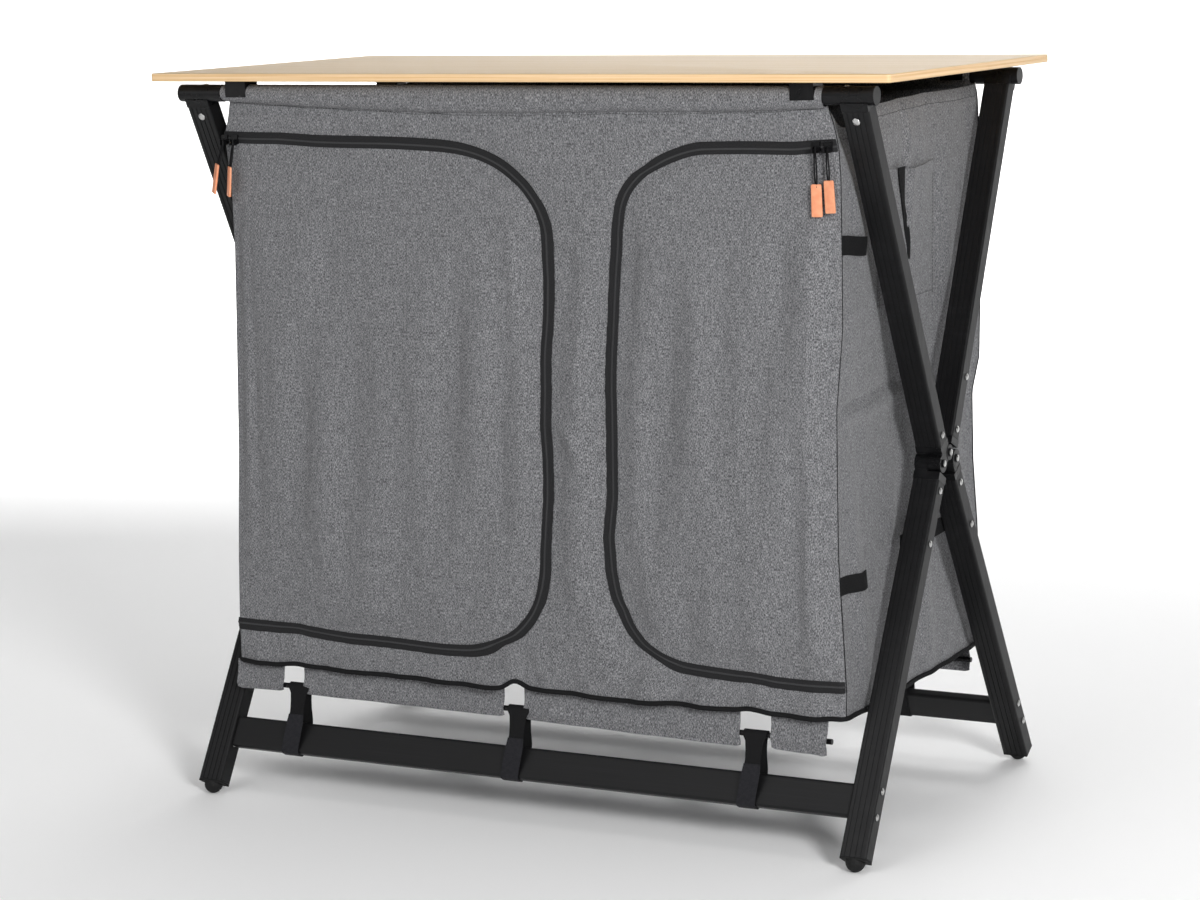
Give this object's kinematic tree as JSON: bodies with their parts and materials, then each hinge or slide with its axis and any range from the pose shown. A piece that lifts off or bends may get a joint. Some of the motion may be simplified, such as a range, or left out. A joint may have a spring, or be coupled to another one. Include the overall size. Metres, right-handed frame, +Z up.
{
  "type": "camping cabinet",
  "caption": "Folding camping cabinet: bamboo board on a black folding tube frame, with a hanging grey fabric cupboard closed by zip doors.",
  "frame": {"origin": "on the floor under the middle of the board", "axes": "+X towards the right end seen from the doors, -Y towards the doors, +Z up"},
  "size_m": [0.9, 0.4884, 0.82],
  "materials": {
    "bamboo": "clear satin lacquer on bamboo strips",
    "tube_black": "satin black coated aluminium tube, ribbed on its wide faces",
    "plastic_black": "moulded, slightly glossy",
    "rubber_black": "matt",
    "cloth_grey": "heather grey woven polyester",
    "webbing_black": "woven webbing with hook and loop",
    "zip_black": "coil zip on woven tape",
    "pull_coral": "soft moulded tab"
  },
  "bodies": {
    "frame_front": {"rail_front": "tube_black", "top_fitting_front_left": "plastic_black", "top_fitting_front_right": "plastic_black", "leg_upper_front_left": "tube_black", "leg_upper_front_right": "tube_black", "joint_upper_front_left": "plastic_black", "joint_upper_front_right": "plastic_black", "bag_front": "cloth_grey", "bag_back": "cloth_grey", "bag_side_left": "cloth_grey", "bag_side_right": "cloth_grey", "bag_floor": "cloth_grey", "bag_shelf": "cloth_grey", "tie_strap_front_left": "webbing_black", "tie_strap_front_middle": "webbing_black", "tie_strap_front_right": "webbing_black", "tie_strap_back_left": "webbing_black", "tie_strap_back_middle": "webbing_black", "tie_strap_back_right": "webbing_black"},
    "frame_back": {"rail_back": "tube_black", "top_fitting_back_left": "plastic_black", "top_fitting_back_right": "plastic_black", "leg_upper_back_left": "tube_black", "leg_upper_back_right": "tube_black", "joint_upper_back_left": "plastic_black", "joint_upper_back_right": "plastic_black"},
    "legs_front": {"crossbar_front": "tube_black", "leg_lower_front_left": "tube_black", "leg_lower_front_right": "tube_black", "joint_lower_front_left": "plastic_black", "joint_lower_front_right": "plastic_black", "foot_front_left": "rubber_black", "foot_front_right": "rubber_black", "spreader_strap_left": "webbing_black", "spreader_strap_right": "webbing_black"},
    "legs_back": {"crossbar_back": "tube_black", "leg_lower_back_left": "tube_black", "leg_lower_back_right": "tube_black", "joint_lower_back_left": "plastic_black", "joint_lower_back_right": "plastic_black", "foot_back_left": "rubber_black", "foot_back_right": "rubber_black"},
    "board": {"table_top": "bamboo", "board_clip_front_left": "plastic_black", "board_clip_front_right": "plastic_black", "board_clip_back_left": "plastic_black", "board_clip_back_right": "plastic_black"},
    "door_left_body": {"door_left": "cloth_grey", "zip_left": "zip_black"},
    "door_right_body": {"door_right": "cloth_grey", "zip_right": "zip_black"},
    "slider_left_inner": {"zip_slider_left_inner": "zip_black"},
    "pull_left_inner": {"zip_pull_left_inner": "pull_coral"},
    "slider_left_outer": {"zip_slider_left_outer": "zip_black"},
    "pull_left_outer": {"zip_pull_left_outer": "pull_coral"},
    "slider_right_inner": {"zip_slider_right_inner": "zip_black"},
    "pull_right_inner": {"zip_pull_right_inner": "pull_coral"},
    "slider_right_outer": {"zip_slider_right_outer": "zip_black"},
    "pull_right_outer": {"zip_pull_right_outer": "pull_coral"}
  },
  "joints": [
    {"name": "board_lift", "type": "slide", "parent": "frame_front", "child": "board", "axis": [0, 0, 1], "range_m": [0, 0.45]},
    {"name": "frame_close", "type": "hinge", "parent": "frame_front", "child": "frame_back", "pos_m": [0, 0, 0.402], "axis": [1, 0, 0], "range_deg": [0, 40], "deforming": ["bag_back", "bag_side_left", "bag_side_right", "bag_floor", "bag_shelf", "tie_strap_front_left", "tie_strap_front_middle", "tie_strap_front_right", "tie_strap_back_left", "tie_strap_back_middle", "tie_strap_back_right", "spreader_strap_left", "spreader_strap_right"]},
    {"name": "lower_front_fold", "type": "hinge", "parent": "frame_front", "child": "legs_front", "pos_m": [0, -0.0185, 0.3927], "axis": [-1, 0, 0], "range_deg": [0, 98], "deforming": ["tie_strap_front_left", "tie_strap_front_middle", "tie_strap_front_right", "spreader_strap_left", "spreader_strap_right"]},
    {"name": "lower_back_fold", "type": "hinge", "parent": "frame_back", "child": "legs_back", "pos_m": [0, 0.0185, 0.3927], "axis": [1, 0, 0], "range_deg": [0, 98], "deforming": ["tie_strap_back_left", "tie_strap_back_middle", "tie_strap_back_right", "spreader_strap_left", "spreader_strap_right"]},
    {"name": "door_left_swing", "type": "hinge", "parent": "frame_front", "child": "door_left_body", "pos_m": [-0.3745, -0.1979, 0.46775], "axis": [0, 0, 1], "range_deg": [-110, 0]},
    {"name": "door_right_swing", "type": "hinge", "parent": "frame_front", "child": "door_right_body", "pos_m": [0.3745, -0.1979, 0.46775], "axis": [0, 0, -1], "range_deg": [-110, 0]},
    {"name": "slider_left_inner_run", "type": "slide", "parent": "door_left_body", "child": "slider_left_inner", "axis": [1, 0, 0], "range_m": [0, 0.23]},
    {"name": "pull_left_inner_swing", "type": "hinge", "parent": "slider_left_inner", "child": "pull_left_inner", "pos_m": [-0.3565, -0.2041, 0.7424], "axis": [-1, 0, 0], "range_deg": [0, 80]},
    {"name": "slider_left_outer_run", "type": "slide", "parent": "door_left_body", "child": "slider_left_outer", "axis": [1, 0, 0], "range_m": [0, 0.23]},
    {"name": "pull_left_outer_swing", "type": "hinge", "parent": "slider_left_outer", "child": "pull_left_outer", "pos_m": [-0.37, -0.2041, 0.7424], "axis": [-1, 0, 0], "range_deg": [0, 80]},
    {"name": "slider_right_inner_run", "type": "slide", "parent": "door_right_body", "child": "slider_right_inner", "axis": [-1, 0, 0], "range_m": [0, 0.15]},
    {"name": "pull_right_inner_swing", "type": "hinge", "parent": "slider_right_inner", "child": "pull_right_inner", "pos_m": [0.3565, -0.2041, 0.7424], "axis": [-1, 0, 0], "range_deg": [0, 80]},
    {"name": "slider_right_outer_run", "type": "slide", "parent": "door_right_body", "child": "slider_right_outer", "axis": [-1, 0, 0], "range_m": [0, 0.15]},
    {"name": "pull_right_outer_swing", "type": "hinge", "parent": "slider_right_outer", "child": "pull_right_outer", "pos_m": [0.37, -0.2041, 0.7424], "axis": [-1, 0, 0], "range_deg": [0, 80]}
  ],
  "couplings": [
    {"joint": "frame_close", "follows": "board_lift", "rad_per_m": 1.55},
    {"joint": "slider_left_outer_run", "follows": "slider_left_inner_run", "ratio": 0.9},
    {"joint": "slider_right_outer_run", "follows": "slider_right_inner_run", "ratio": 0.9}
  ]
}
